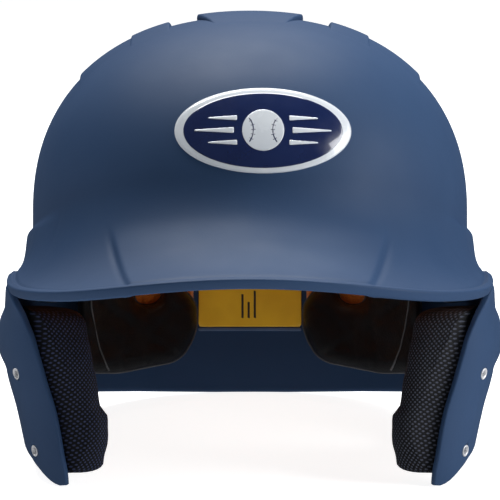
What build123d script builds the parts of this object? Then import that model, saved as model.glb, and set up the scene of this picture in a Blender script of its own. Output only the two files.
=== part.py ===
"""Double-flap batting helmet: shell, impact foam, comfort pads, ear pads and guard fasteners.

The helmet is drawn as it sits on a level head ("worn" frame: X to the wearer's left, -Y to
the front, +Z up, Z = 0 just below the ear flaps). Every finished solid is then tilted onto
the flaps and the nape, which is how the helmet rests on a table.
"""

import os
from functools import lru_cache
from math import cos, pi, radians, sin, sqrt, tan

from build123d import *

# ---- Driving dimensions, millimetres, worn frame -------------------------------------------
CENTRE_Y = 6.0          # plan centre of the dome
CROWN_BASE = 130.0      # height at which the dome springs from the skirt
CROWN_RISE = 92.5       # dome height above CROWN_BASE
CROWN_POWER = 2.25      # fullness of the dome's vertical profile
DOME_HALF_WIDTH = 103.0
DOME_FRONT = 126.0      # reach of the dome in front of CENTRE_Y
DOME_REAR = 126.0       # and behind it
CAP_RADIUS_SHARE = 0.10  # the dome ends in a flat disc this share of its width
WALL = 3.2              # shell thickness

FOAM_OUT, FOAM_IN = 3.6, 13.4       # impact foam, as depths below the outer surface
PAD_OUT, PAD_IN = 13.8, 22.0        # comfort pads
REAR_PAD_IN = 26.0                  # the thicker pads beside the nape
PIECE_GAP = 0.6                     # clear gap between neighbouring pieces

RIDGE_CENTRE, RIDGE_SIDE, RIDGE_PANEL = 3.0, 2.4, 1.6   # heights of the raised top panels
VENT_X, VENT_WIDTH = 31.0, 9.0      # vents lie in the valleys beside the middle ridge

EAR_Y, EAR_Z = 3.0, 60.0            # centre of the ear hole
EAR_HOLE = (14.0, 17.0)             # half length and half height in the flap
EAR_BOSS = (46.0, 15.0)             # the same for the raised boss round it
EAR_BOSS_Z = 72.0
EAR_BOSS_HEIGHT = 2.4
EAR_PAD_HOLE = (17.0, 20.0)         # the same in the pad

NUT_BARREL_R = 2.75                 # captive threaded inserts for a face guard
NUT_BORE_R = 1.75                   # tapped #8-32
NUT_FLANGE_R = 5.2
NUT_FLANGE_T = 1.0
NUT_TURN = 30.5                     # degrees the inserts face forward of straight out
NUT_DROPS = {56.0: 14.0, 21.0: 9.0}  # insert height: degrees its axis points down
NUT_SETBACK = 4.8                   # depth of the flange's outer face
NUT_FIT = 0.05                      # radial clearance of a barrel in its hole
NUT_POCKET_R = NUT_FLANGE_R + 1.5   # hole left in the ear pad and its backing round a flange

REST_TILT = 10.618                  # degrees, rear down, on the table
REST_SHIFT_Y = -0.58                # then forward, to stand over the origin
REST_LIFT = -16.258                 # and down, until the flap toes and the nape touch Z = 0

# Stations of the skirt: height, half width, front reach, rear reach, squareness of the front.
SKIRT = (
    (130.0, 103.0, 126.0, 126.0, 2.00),
    (120.0, 104.2, 125.0, 126.5, 2.08),
    (107.0, 106.2, 119.0, 126.5, 2.45),
    (100.0, 110.4, 110.0, 126.0, 2.90),
    (90.0, 113.5, 90.0, 124.5, 3.90),
    (80.0, 114.5, 82.5, 123.0, 4.50),
    (68.0, 114.8, 81.5, 121.0, 4.60),
    (56.0, 113.2, 80.5, 118.5, 4.60),
    (40.0, 108.9, 79.6, 115.5, 4.60),
    (21.0, 104.7, 78.5, 112.5, 4.60),
    (4.0, 101.4, 75.0, 110.0, 4.60),
    (-8.0, 99.0, 72.0, 108.0, 4.60),
)
ARC_STEPS = 7           # steps that draw each quarter of a section
DOME_ANGLES = (7.5, 15.0, 24.0, 33.0, 42.0, 51.0, 60.0, 69.0, 77.0)

os.makedirs("parts", exist_ok=True)


# ---- The helmet's form ------------------------------------------------------------------------
def station_outline(half_width, front, rear, power):
    """Draw the left half of one horizontal section: squared in front, elliptical behind."""
    nose = (0, CENTRE_Y - front)
    side = (half_width, CENTRE_Y)
    tail = (0, CENTRE_Y + rear)
    front_points = []
    rear_points = []
    for i in range(1, ARC_STEPS):
        angle = pi / 2 * i / ARC_STEPS
        across = sin(angle) ** (2 / power) * half_width
        along = cos(angle) ** (2 / power) * front
        front_points.append((across, CENTRE_Y - along))
        rear_points.append((half_width * cos(angle), CENTRE_Y + rear * sin(angle)))
    Spline(nose, *front_points, side, tangents=((1, 0), (0, 1)))
    Spline(side, *rear_points, tail, tangents=((0, 1), (-1, 0)))
    Line(tail, nose)


def dome_station(angle):
    """Height, half width and reaches of the dome at an elevation angle of its profile."""
    rise = sin(radians(angle)) ** (2 / CROWN_POWER)
    spread = cos(radians(angle)) ** (2 / CROWN_POWER)
    return rise, spread


@lru_cache(maxsize=None)
def hull(depth):
    """Solid inside the outer surface moved in by depth (a negative depth moves it out)."""
    with BuildPart() as form:
        for height, half_width, front, rear, power in reversed(SKIRT):
            with BuildSketch(Plane.XY.offset(height)):
                with BuildLine():
                    station_outline(half_width - depth, front - depth, rear - depth, power)
                make_face()
        for angle in DOME_ANGLES:
            rise, spread = dome_station(angle)
            with BuildSketch(Plane.XY.offset(CROWN_BASE + (CROWN_RISE - depth) * rise)):
                with BuildLine():
                    station_outline(
                        (DOME_HALF_WIDTH - depth) * spread,
                        (DOME_FRONT - depth) * spread,
                        (DOME_REAR - depth) * spread,
                        2.0,
                    )
                make_face()
        cap_rise = (1 - CAP_RADIUS_SHARE**CROWN_POWER) ** (1 / CROWN_POWER)
        with BuildSketch(Plane.XY.offset(CROWN_BASE + (CROWN_RISE - depth) * cap_rise)):
            with BuildLine():
                station_outline(
                    (DOME_HALF_WIDTH - depth) * CAP_RADIUS_SHARE,
                    (DOME_FRONT - depth) * CAP_RADIUS_SHARE,
                    (DOME_REAR - depth) * CAP_RADIUS_SHARE,
                    2.0,
                )
            make_face()
        loft()
        mirror(about=Plane.YZ)
    return form.part


REACH = 150.0           # longer than any half extent of the helmet, for cutting prisms
TOP = 240.0             # above the crown


def layer(outer_depth, inner_depth):
    """Closed skin of the helmet's form between two depths."""
    with BuildPart() as skin:
        add(hull(outer_depth))
        add(hull(inner_depth), mode=Mode.SUBTRACT)
    return skin.part


def wall_point(height, turn):
    """Point of the outer surface at a skirt station where the wall faces turn degrees forward."""
    half_width, front, rear, power = next(row[1:] for row in SKIRT if row[0] == height)
    ratio = (tan(radians(turn)) * front / half_width) ** (power / (power - 1))
    across = half_width * (1 / (1 + ratio)) ** (1 / power)
    along = front * (ratio / (1 + ratio)) ** (1 / power)
    return Vector(across, CENTRE_Y - along, height)


# ---- Shell --------------------------------------------------------------------------------------
# The flap's front edge from the brow down, its toe, and the lower edge back to the nape, as (Y, Z).
FLAP_FRONT = [
    (-57, 94), (-62.6, 86), (-63.9, 80), (-65.6, 72), (-66, 62),
    (-65.8, 52), (-65.6, 38), (-65.2, 26), (-63.6, 14),
]
FLAP_TOE = (-60.5, 5.2)
LOWER_EDGE = [
    (-57.5, 7.8), (-53, 13), (-47, 18), (-36, 22), (-16, 24.5),
    (5, 25.5), (30, 28), (55, 33.5), (78, 38.2), (100, 39.3),
]
FLAP_SPLIT_Y = -22.0    # the flap ahead of this and below the next is a node of its own
FLAP_SPLIT_Z = 84.0
BROW_EDGE = 104.0       # height of the shell's front edge, hidden by the brim
BROW_EDGE_REAR = -84.0  # that edge runs back to here, then down to the flap

# Raised top panels: height, inner and outer X, front and rear Y, and slant of the ends.
RAISED_PANELS = (
    (RIDGE_PANEL, 0, 79.5, -34, 108, 26),
    (RIDGE_SIDE, 37, 55, -30, 104, 8),
    (RIDGE_CENTRE, 0, 25, -40, 116, 10),
)
TOP_CUT_Z = CROWN_BASE + 20         # panels, vents and crown pad are drawn on this level
TOP_VENTS = ((22, 52), (80, 34))    # centre Y and length of each slot in a valley
REAR_VENT_AT, REAR_VENT_LENGTH = (24, 148), 34
REAR_VENT_FRONT_Y = 60              # the rear slots are cut from here backwards

BRIM_ORIGIN_Y = -45.0
BRIM_HALF_WIDTH = 109.6
BRIM_REACH = 130.0
BRIM_POWER = 2.2
BRIM_EDGE = 4.5         # thickness at the rim
BRIM_ROOT_T = 8.0       # thickness where it meets the dome
BRIM_BITE = 6.0         # the drawn sections start this far inside the dome wall
BRIM_ANGLES = (0, 15, 30, 45, 60, 74, 88, 100, 110)
BRIM_CORNER_TURN = 45   # direction of the brim's corners, degrees from straight ahead
BRIM_LOW_FRONT, BRIM_LOW_CORNER, BRIM_EAR_RISE = 95.2, 89.3, 7.0
BRIM_ROOT_FRONT, BRIM_ROOT_FALL = 131.0, 26.0


def brim_radius(turn):
    """Distance from the brim's plan origin to its rim, turn degrees from straight ahead."""
    across = abs(sin(radians(turn))) / BRIM_HALF_WIDTH
    if turn >= 90:
        return 1 / across
    along = cos(radians(turn)) / BRIM_REACH
    return (across**BRIM_POWER + along**BRIM_POWER) ** (-1 / BRIM_POWER)


def brow_radius(turn):
    """Distance from the brim's plan origin to the dome wall in the same direction."""
    across = sin(radians(turn)) / DOME_HALF_WIDTH
    along = cos(radians(turn)) / DOME_FRONT
    offset = (CENTRE_Y - BRIM_ORIGIN_Y) / DOME_FRONT
    square = across**2 + along**2
    return (-along * offset + sqrt((along * offset) ** 2 + square * (1 - offset**2))) / square


def brim_low(turn):
    """Height of the rim's lower edge: highest ahead, lowest at the corners, up to the ear."""
    if turn <= BRIM_CORNER_TURN:
        return BRIM_LOW_FRONT - (BRIM_LOW_FRONT - BRIM_LOW_CORNER) * sin(radians(2 * turn)) ** 2
    return BRIM_LOW_CORNER + BRIM_EAR_RISE * min(1, turn / BRIM_CORNER_TURN - 1) ** 2


def brim_half():
    """Left half of the brim, from straight ahead to above the ear."""
    with BuildPart() as half:
        for turn in BRIM_ANGLES:
            out = Vector(sin(radians(turn)), -cos(radians(turn)), 0)
            plane = Plane(
                origin=(0, BRIM_ORIGIN_Y, 0), x_dir=out, z_dir=out.cross(Vector(0, 0, 1))
            )
            rim = brim_radius(turn)
            root = brow_radius(turn) - BRIM_BITE
            low = brim_low(turn)
            root_height = BRIM_ROOT_FRONT - BRIM_ROOT_FALL * sin(radians(min(90, turn))) ** 2.4
            with BuildSketch(plane):
                with BuildLine():
                    top = Spline(
                        (root, root_height),
                        (rim, low + BRIM_EDGE),
                        tangents=((0.62, -0.78), (0.98, -0.2)),
                    )
                    Line(top @ 1, (rim, low))
                    under = Spline(
                        (rim, low),
                        (root, root_height - BRIM_ROOT_T),
                        tangents=((-0.98, 0.2), (-0.75, 0.66)),
                    )
                    Line(under @ 1, top @ 0)
                make_face()
        loft()
    return half.part


def raised_panel(height, inner, outer, front_y, rear_y, slant):
    """Pair of top panels raised by height between two distances from the middle plane."""
    with BuildPart() as panel:
        add(hull(-height))
        with BuildSketch(Plane.XY.offset(TOP_CUT_Z)):
            with BuildLine():
                Polyline(
                    (inner, front_y),
                    (outer, front_y + slant),
                    (outer, rear_y - slant),
                    (inner, rear_y),
                    close=True,
                )
            make_face()
            mirror(about=Plane.YZ)
        extrude(amount=TOP - CROWN_BASE, mode=Mode.INTERSECT)
    return panel.part


def ear_bosses():
    """Oval raised boss round each ear hole."""
    with BuildPart() as bosses:
        add(hull(-EAR_BOSS_HEIGHT))
        with BuildSketch(Plane.YZ):
            with Locations((EAR_Y, EAR_BOSS_Z)):
                Ellipse(*EAR_BOSS)
        extrude(amount=REACH, both=True, mode=Mode.INTERSECT)
    return bosses.part


def vents():
    """Slots through the crown valleys and the back of the shell and foam."""
    with BuildPart() as slots:
        with BuildSketch(Plane.XY.offset(TOP_CUT_Z)):
            for centre_y, length in TOP_VENTS:
                with Locations((VENT_X, centre_y), (-VENT_X, centre_y)):
                    SlotOverall(length, VENT_WIDTH, rotation=90)
        extrude(amount=TOP - CROWN_BASE)
        with BuildSketch(Plane.XZ.offset(-REAR_VENT_FRONT_Y)):
            with Locations(REAR_VENT_AT, (-REAR_VENT_AT[0], REAR_VENT_AT[1])):
                SlotOverall(REAR_VENT_LENGTH, VENT_WIDTH)
        extrude(amount=-REACH)
    return slots.part


def nut_plane(height, depth):
    """Plane across an insert's axis, facing out of the shell, depth below the surface."""
    turn, drop = radians(NUT_TURN), radians(NUT_DROPS[height])
    out = Vector(cos(turn) * cos(drop), -sin(turn) * cos(drop), -sin(drop))
    return Plane(origin=wall_point(height, NUT_TURN) - out * depth, z_dir=out)


def nut_tools(radius, deepest, proud):
    """Cylinders on the axes of the left flap's inserts, for holes and clearances."""
    with BuildPart() as tools:
        for height in NUT_DROPS:
            with BuildSketch(nut_plane(height, deepest)):
                Circle(radius)
            extrude(amount=deepest + proud)
    return tools.part


def both_sides(part):
    """The part and its mirror image in the middle plane."""
    with BuildPart() as pair:
        add(part)
        mirror(about=Plane.YZ)
    return pair.part


@lru_cache(maxsize=None)
def moulding():
    """The moulded dome, skirt and ear flaps with all their holes, but without the brim."""
    with BuildPart() as skin:
        add(hull(0.0))
        with BuildSketch(Plane.YZ):
            with BuildLine():
                Polyline((-REACH, BROW_EDGE), (BROW_EDGE_REAR, BROW_EDGE), FLAP_FRONT[0])
                Spline(*FLAP_FRONT, FLAP_TOE)
                Spline(FLAP_TOE, *LOWER_EDGE, tangents=((0.8, 0.6), (1, 0)))
                Polyline(
                    LOWER_EDGE[-1],
                    (REACH, LOWER_EDGE[-1][1]),
                    (REACH, TOP),
                    (-REACH, TOP),
                    (-REACH, BROW_EDGE),
                )
            make_face()
        extrude(amount=REACH, both=True, mode=Mode.INTERSECT)
        for row in RAISED_PANELS:
            add(raised_panel(*row))
        add(ear_bosses())
        add(hull(WALL), mode=Mode.SUBTRACT)
        with BuildSketch(Plane.YZ):
            with Locations((EAR_Y, EAR_Z)):
                Ellipse(*EAR_HOLE)
        extrude(amount=REACH, both=True, mode=Mode.SUBTRACT)
        add(vents(), mode=Mode.SUBTRACT)
        add(both_sides(nut_tools(NUT_BARREL_R + NUT_FIT, deepest=8, proud=4)), mode=Mode.SUBTRACT)
    return skin.part


def flap_zone(side):
    """Block round the front of one ear flap, which carries the guard inserts."""
    with BuildPart() as zone:
        with Locations((side * REACH / 2, FLAP_SPLIT_Y - REACH / 2, FLAP_SPLIT_Z - REACH / 2)):
            Box(REACH, REACH, REACH)
    return zone.part


with BuildPart() as shell:
    add(moulding())
    add(flap_zone(1), mode=Mode.SUBTRACT)
    add(flap_zone(-1), mode=Mode.SUBTRACT)

with BuildPart() as left_flap_front:
    add(moulding())
    add(flap_zone(1), mode=Mode.INTERSECT)

with BuildPart() as right_flap_front:
    add(moulding())
    add(flap_zone(-1), mode=Mode.INTERSECT)

with BuildPart() as brim:
    add(both_sides(brim_half()))
    add(hull(0.0), mode=Mode.SUBTRACT)


# ---- Badge and label ---------------------------------------------------------------------------
BADGE_X, BADGE_Z = 5.7, 164.2       # the badge sits slightly to the wearer's left
BADGE_HALF = (38.7, 19.0)           # half width and half height seen from the front
BADGE_T = 0.9
GLUE_LINE = 0.05                    # gap behind a stuck-on piece
LABEL_T = 0.5
LABEL_HALF_WIDTH = 25.0
LABEL_BOTTOM, LABEL_TOP = 72.5, 101.0

with BuildPart() as front_badge:
    add(layer(-GLUE_LINE - BADGE_T, -GLUE_LINE))
    with BuildSketch(Plane.XZ):
        with Locations((BADGE_X, BADGE_Z)):
            Ellipse(*BADGE_HALF)
    extrude(amount=REACH, mode=Mode.INTERSECT)

with BuildPart() as rear_label:
    add(layer(WALL + 2 * GLUE_LINE, WALL + 2 * GLUE_LINE + LABEL_T))
    with BuildSketch(Plane.XZ):
        with Locations((0, (LABEL_BOTTOM + LABEL_TOP) / 2)):
            RectangleRounded(2 * LABEL_HALF_WIDTH, LABEL_TOP - LABEL_BOTTOM, 1.5)
    extrude(amount=-REACH, mode=Mode.INTERSECT)


# ---- Impact foam --------------------------------------------------------------------------------
FOAM_SIDE_X = 72.0      # front and rear foam reach this far sideways, side foam starts beyond
FOAM_CROWN_Z = 165.0    # crown foam lies above this height
FRONT_FOAM_BOTTOM = 107.0
SIDE_FOAM_BOTTOM = 93.0
REAR_FOAM_BOTTOM = 60.0
SIDE_FOAM_FRONT, SIDE_FOAM_REAR = -74.0, 78.0
LABEL_MARGIN = 2.0      # the notch that shows the label is this much larger


def foam_block(plane, half_width, bottom, top, centre_x=0.0, direction=1):
    """Stretch of the foam layer seen through a rectangle in a vertical plane."""
    with BuildPart() as block:
        add(layer(FOAM_OUT, FOAM_IN))
        with BuildSketch(plane):
            with Locations((centre_x, (bottom + top) / 2)):
                Rectangle(2 * half_width, top - bottom)
        extrude(amount=direction * REACH, mode=Mode.INTERSECT)
    return block.part


with BuildPart() as front_impact_foam:
    add(foam_block(Plane.XZ, FOAM_SIDE_X, FRONT_FOAM_BOTTOM, FOAM_CROWN_Z))

with BuildPart() as rear_impact_foam:
    add(foam_block(Plane.XZ, FOAM_SIDE_X, REAR_FOAM_BOTTOM, FOAM_CROWN_Z, direction=-1))
    with BuildSketch(Plane.XZ):
        with Locations((0, REAR_FOAM_BOTTOM)):
            Rectangle(
                2 * (LABEL_HALF_WIDTH + LABEL_MARGIN),
                2 * (LABEL_TOP + LABEL_MARGIN - REAR_FOAM_BOTTOM),
            )
    extrude(amount=-REACH, mode=Mode.SUBTRACT)
    add(vents(), mode=Mode.SUBTRACT)

with BuildPart() as crown_impact_foam:
    add(layer(FOAM_OUT, FOAM_IN))
    split(bisect_by=Plane.XY.offset(FOAM_CROWN_Z + PIECE_GAP), keep=Keep.TOP)
    add(vents(), mode=Mode.SUBTRACT)

with BuildPart() as left_impact_foam:
    add(
        foam_block(
            Plane.YZ.offset(FOAM_SIDE_X + PIECE_GAP),
            (SIDE_FOAM_REAR - SIDE_FOAM_FRONT) / 2,
            SIDE_FOAM_BOTTOM,
            FOAM_CROWN_Z,
            (SIDE_FOAM_REAR + SIDE_FOAM_FRONT) / 2,
        )
    )

with BuildPart() as right_impact_foam:
    mirror(left_impact_foam.part, about=Plane.YZ)


# ---- Comfort pads -------------------------------------------------------------------------------
BROW_PAD_Z = 127.0
BROW_PAD = (112, 40, 9)             # width, height and corner radius
CROWN_PAD = (76, 110, 30)
TEMPLE_PAD_AT = (-7.5, 118.5)
TEMPLE_PAD = (103, 59, 11)
REAR_PAD_OUTLINE = [(27, 59), (27, 92), (50, 101), (80, 101), (84, 84), (74, 62), (52, 54), (36, 54)]
REAR_PAD_CORNER = 5

with BuildPart() as brow_pad:
    add(layer(PAD_OUT, PAD_IN))
    with BuildSketch(Plane.XZ):
        with Locations((0, BROW_PAD_Z)):
            RectangleRounded(*BROW_PAD)
    extrude(amount=REACH, mode=Mode.INTERSECT)

with BuildPart() as crown_pad:
    add(layer(PAD_OUT, PAD_IN))
    with BuildSketch(Plane.XY.offset(TOP_CUT_Z)):
        with Locations((0, CENTRE_Y)):
            RectangleRounded(*CROWN_PAD)
    extrude(amount=TOP - CROWN_BASE, mode=Mode.INTERSECT)

with BuildPart() as left_temple_pad:
    add(layer(PAD_OUT, PAD_IN))
    with BuildSketch(Plane.YZ):
        with Locations(TEMPLE_PAD_AT):
            RectangleRounded(*TEMPLE_PAD)
    extrude(amount=REACH, mode=Mode.INTERSECT)

with BuildPart() as right_temple_pad:
    mirror(left_temple_pad.part, about=Plane.YZ)

with BuildPart() as left_rear_pad:
    add(layer(PAD_OUT, REAR_PAD_IN))
    with BuildSketch(Plane.XZ):
        with BuildLine():
            FilletPolyline(*REAR_PAD_OUTLINE, radius=REAR_PAD_CORNER, close=True)
        make_face()
    extrude(amount=-REACH, mode=Mode.INTERSECT)

with BuildPart() as right_rear_pad:
    mirror(left_rear_pad.part, about=Plane.YZ)


# ---- Ear pads -----------------------------------------------------------------------------------
EAR_PAD_OUTLINE = [
    (-62, 84), (-66, 66), (-66, 26), (-60, 9), (-40, 19), (10, 26), (36, 32), (42, 84), (-50, 87),
]
EAR_PAD_CORNER = 5
EAR_PAD_FRONT, EAR_PAD_REAR = -90, 60
EAR_PAD_FACE = [(64.5, EAR_PAD_FRONT), (67, -58), (75, -28), (83, 6), (88, EAR_PAD_REAR)]   # (X, Y)
COVER_T = 1.2
COVER_GAP = 0.05
BACKING_INSET = 3.0     # the backing board ends this far inside the pad's outline
PATCHES_AT = [(-24, 72), (32, 66), (-20, 30)]
PATCH = (18, 16, 3)     # length, height and corner radius
PATCH_DEPTHS = (WALL + 0.1, WALL + 1.1)
BACKING_DEPTHS = (WALL + 1.2, WALL + 2.2)
CORE_DEPTH = WALL + 2.4


def ear_side(shrink=0.0):
    """Ear pad outline seen from the side, with the ear opening."""
    with BuildSketch(Plane.YZ) as side:
        with BuildLine():
            FilletPolyline(*EAR_PAD_OUTLINE, radius=EAR_PAD_CORNER, close=True)
        make_face()
        offset(amount=-shrink)
        with Locations((EAR_Y, EAR_Z)):
            Ellipse(*EAR_PAD_HOLE, mode=Mode.SUBTRACT)
    return side.sketch


def outboard_of_face(shift):
    """Plan region outboard of the ear pad's face, moved shift towards the head."""
    with BuildSketch(Plane.XY) as region:
        with BuildLine():
            face = Spline(*[(x - shift, y) for x, y in EAR_PAD_FACE])
            Polyline(face @ 1, (REACH, EAR_PAD_REAR), (REACH, EAR_PAD_FRONT), face @ 0)
        make_face()
    return region.sketch


with BuildPart() as left_ear_pad:
    add(hull(CORE_DEPTH))
    extrude(ear_side(), amount=REACH, mode=Mode.INTERSECT)
    extrude(outboard_of_face(0), amount=REACH, mode=Mode.INTERSECT)
    add(nut_tools(NUT_POCKET_R, deepest=12, proud=0), mode=Mode.SUBTRACT)

with BuildPart() as left_ear_pad_cover:
    add(hull(CORE_DEPTH))
    extrude(ear_side(), amount=REACH, mode=Mode.INTERSECT)
    extrude(outboard_of_face(COVER_T), amount=REACH, mode=Mode.INTERSECT)
    extrude(outboard_of_face(COVER_GAP), amount=REACH, mode=Mode.SUBTRACT)

with BuildPart() as left_ear_pad_backing:
    add(layer(*BACKING_DEPTHS))
    extrude(ear_side(BACKING_INSET), amount=REACH, mode=Mode.INTERSECT)
    add(nut_tools(NUT_POCKET_R, deepest=12, proud=0), mode=Mode.SUBTRACT)

with BuildPart() as left_ear_pad_patches:
    add(layer(*PATCH_DEPTHS))
    with BuildSketch(Plane.YZ):
        with Locations(*PATCHES_AT):
            RectangleRounded(*PATCH)
    extrude(amount=REACH, mode=Mode.INTERSECT)


# ---- Face-guard inserts -------------------------------------------------------------------------
with BuildPart() as left_guard_inserts:
    for height in NUT_DROPS:
        with BuildSketch(nut_plane(height, NUT_SETBACK + NUT_FLANGE_T)):
            Circle(NUT_FLANGE_R)
            Circle(NUT_BORE_R, mode=Mode.SUBTRACT)
        extrude(amount=NUT_FLANGE_T)
        with BuildSketch(nut_plane(height, NUT_SETBACK)):
            Circle(NUT_BARREL_R)
            Circle(NUT_BORE_R, mode=Mode.SUBTRACT)
        extrude(amount=NUT_SETBACK)

with BuildPart() as right_guard_inserts:
    mirror(left_guard_inserts.part, about=Plane.YZ)

with BuildPart() as right_ear_pad:
    mirror(left_ear_pad.part, about=Plane.YZ)

with BuildPart() as right_ear_pad_cover:
    mirror(left_ear_pad_cover.part, about=Plane.YZ)

with BuildPart() as right_ear_pad_backing:
    mirror(left_ear_pad_backing.part, about=Plane.YZ)

with BuildPart() as right_ear_pad_patches:
    mirror(left_ear_pad_patches.part, about=Plane.YZ)


# ---- Rest attitude and export -------------------------------------------------------------------
PIECES = {
    "shell": shell,
    "brim": brim,
    "left_flap_front": left_flap_front,
    "right_flap_front": right_flap_front,
    "front_badge": front_badge,
    "rear_label": rear_label,
    "front_impact_foam": front_impact_foam,
    "rear_impact_foam": rear_impact_foam,
    "crown_impact_foam": crown_impact_foam,
    "left_impact_foam": left_impact_foam,
    "right_impact_foam": right_impact_foam,
    "brow_pad": brow_pad,
    "crown_pad": crown_pad,
    "left_temple_pad": left_temple_pad,
    "right_temple_pad": right_temple_pad,
    "left_rear_pad": left_rear_pad,
    "right_rear_pad": right_rear_pad,
    "left_ear_pad": left_ear_pad,
    "right_ear_pad": right_ear_pad,
    "left_ear_pad_cover": left_ear_pad_cover,
    "right_ear_pad_cover": right_ear_pad_cover,
    "left_ear_pad_backing": left_ear_pad_backing,
    "right_ear_pad_backing": right_ear_pad_backing,
    "left_ear_pad_patches": left_ear_pad_patches,
    "right_ear_pad_patches": right_ear_pad_patches,
    "left_guard_inserts": left_guard_inserts,
    "right_guard_inserts": right_guard_inserts,
}

REST = Location((0, REST_SHIFT_Y, REST_LIFT), (-REST_TILT, 0, 0))
for label, piece in PIECES.items():
    resting = piece.part.moved(REST)
    resting.label = label
    export_step(resting, f"parts/{label}.step")
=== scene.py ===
"""Batting helmet: moulded shell, badge, foam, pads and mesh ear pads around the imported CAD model.

Shapes are drawn in the worn frame of the helmet, in millimetres: X to the wearer's left, -Y to
the front, +Z up, Z = 0 just below the ear flaps. rest() tilts them onto the table,
as the CAD model stands, and turns them into metres.
"""

import math

import bmesh
import bpy
import numpy as np
from mathutils import Matrix, Vector
from mathutils.geometry import delaunay_2d_cdt


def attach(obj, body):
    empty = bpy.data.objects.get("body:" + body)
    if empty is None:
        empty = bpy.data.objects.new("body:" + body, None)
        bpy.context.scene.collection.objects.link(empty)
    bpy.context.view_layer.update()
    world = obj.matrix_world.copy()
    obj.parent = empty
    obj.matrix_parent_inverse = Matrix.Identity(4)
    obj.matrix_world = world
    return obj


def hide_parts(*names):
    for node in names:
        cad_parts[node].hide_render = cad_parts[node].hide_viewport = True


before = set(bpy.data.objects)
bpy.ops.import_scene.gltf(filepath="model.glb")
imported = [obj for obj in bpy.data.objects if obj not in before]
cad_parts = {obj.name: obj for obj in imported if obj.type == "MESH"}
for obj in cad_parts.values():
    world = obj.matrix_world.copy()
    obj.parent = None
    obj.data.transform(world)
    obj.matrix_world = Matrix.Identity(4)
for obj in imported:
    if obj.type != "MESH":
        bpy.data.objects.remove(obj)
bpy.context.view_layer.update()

# ---- The helmet's form, millimetres, worn frame ---------------------------------------------
MM = 0.001
REST_TILT = math.radians(10.618)
REST_SHIFT_Y = -0.58
REST_LIFT = -16.258

CENTRE_Y = 6.0
DOME_Z = 130.0
DOME_RISE = 92.5
DOME_POWER = 2.25
DOME_HALF_WIDTH = 103.0
DOME_REACH = 126.0
WALL = 3.2
EDGE_ROUND = 0.9

# Skirt stations: height, half width, front reach, squareness of the front, rear reach.
SKIRT = np.array([
    (-8.0, 99.0, 72.0, 4.6, 108.0),
    (4.0, 101.4, 75.0, 4.6, 110.0),
    (21.0, 104.7, 78.5, 4.6, 112.5),
    (40.0, 108.9, 79.6, 4.6, 115.5),
    (56.0, 113.2, 80.5, 4.6, 118.5),
    (68.0, 114.8, 81.5, 4.6, 121.0),
    (80.0, 114.5, 83.5, 4.6, 123.0),
    (90.0, 113.6, 92.0, 4.6, 124.5),
    (94.5, 113.2, 99.0, 4.6, 125.2),
    (98.0, 111.7, 105.0, 4.6, 125.6),
    (100.0, 110.6, 108.0, 4.6, 125.8),
    (108.0, 105.8, 116.0, 4.2, 126.0),
])

# Edges of the flap and nape seen from the side: y, z.
FLAP_FRONT = np.array([
    (-50.0, 100.0), (-56.0, 94.0), (-60.8, 86.0), (-62.2, 80.0), (-64.2, 72.0), (-65.0, 62.0),
    (-65.1, 52.0), (-65.0, 38.0), (-64.5, 26.0), (-63.2, 14.0), (-61.4, 6.4),
])
LOWER_EDGE = np.array([
    (-61.4, 6.4), (-59.4, 6.3), (-57.5, 7.8), (-53.0, 13.0), (-47.0, 18.0), (-36.0, 22.0), (-16.0, 24.5),
    (5.0, 25.5), (30.0, 28.0), (52.0, 33.5), (70.0, 39.4), (85.0, 41.4), (105.0, 40.6), (122.0, 39.4),
])
EAR = (3.0, 60.0)
EAR_HOLE = (14.0, 17.0)
FAR_AWAY = 1e4                               # keeps the other half of the shell out of a cut
EAR_BOSS = (3.0, 72.0, 46.0, 15.0, 2.6)      # centre y, z, half sizes and height of the boss

BRIM_Y = -45.0
BRIM_HALF_WIDTH = 109.6
BRIM_REACH = 129.2
BRIM_POWER = 2.2
BRIM_EDGE = 4.5
RIM_Z = 100.0                                # height of the shoulder line above the ears


def rest(points):
    """Worn-frame millimetres to the row frame in metres."""
    points = np.atleast_2d(np.asarray(points, float))
    c, s = math.cos(REST_TILT), math.sin(REST_TILT)
    y = points[:, 1] * c + points[:, 2] * s + REST_SHIFT_Y
    z = -points[:, 1] * s + points[:, 2] * c + REST_LIFT
    return np.column_stack([points[:, 0], y, z]) * MM


def worn(points):
    """Row-frame metres back to worn-frame millimetres."""
    points = np.atleast_2d(np.asarray(points, float)) / MM
    c, s = math.cos(REST_TILT), math.sin(REST_TILT)
    y, z = points[:, 1] - REST_SHIFT_Y, points[:, 2] - REST_LIFT
    return np.column_stack([points[:, 0], y * c - z * s, y * s + z * c])


def rest_turn():
    """Rotation from the worn frame to the row frame."""
    return Matrix.Rotation(-REST_TILT, 3, "X")


def unit(v, guard=0.0):
    """Rows of v scaled to length 1; guard is a tiny length that keeps rows of zeros at zero."""
    return v / (np.linalg.norm(v, axis=-1, keepdims=True) + guard)


def smooth_step(low, high, value):
    t = np.clip((value - low) / (high - low), 0.0, 1.0)
    return t * t * (3 - 2 * t)


def hermite(t, start, end, length, start_slope, end_slope):
    """Cubic from start (t = 0) to end (t = 1) with a slope at each end."""
    return ((2 * t**3 - 3 * t**2 + 1) * start + (t**3 - 2 * t**2 + t) * length * start_slope
            + (3 * t**2 - 2 * t**3) * end + (t**3 - t**2) * length * end_slope)


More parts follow.
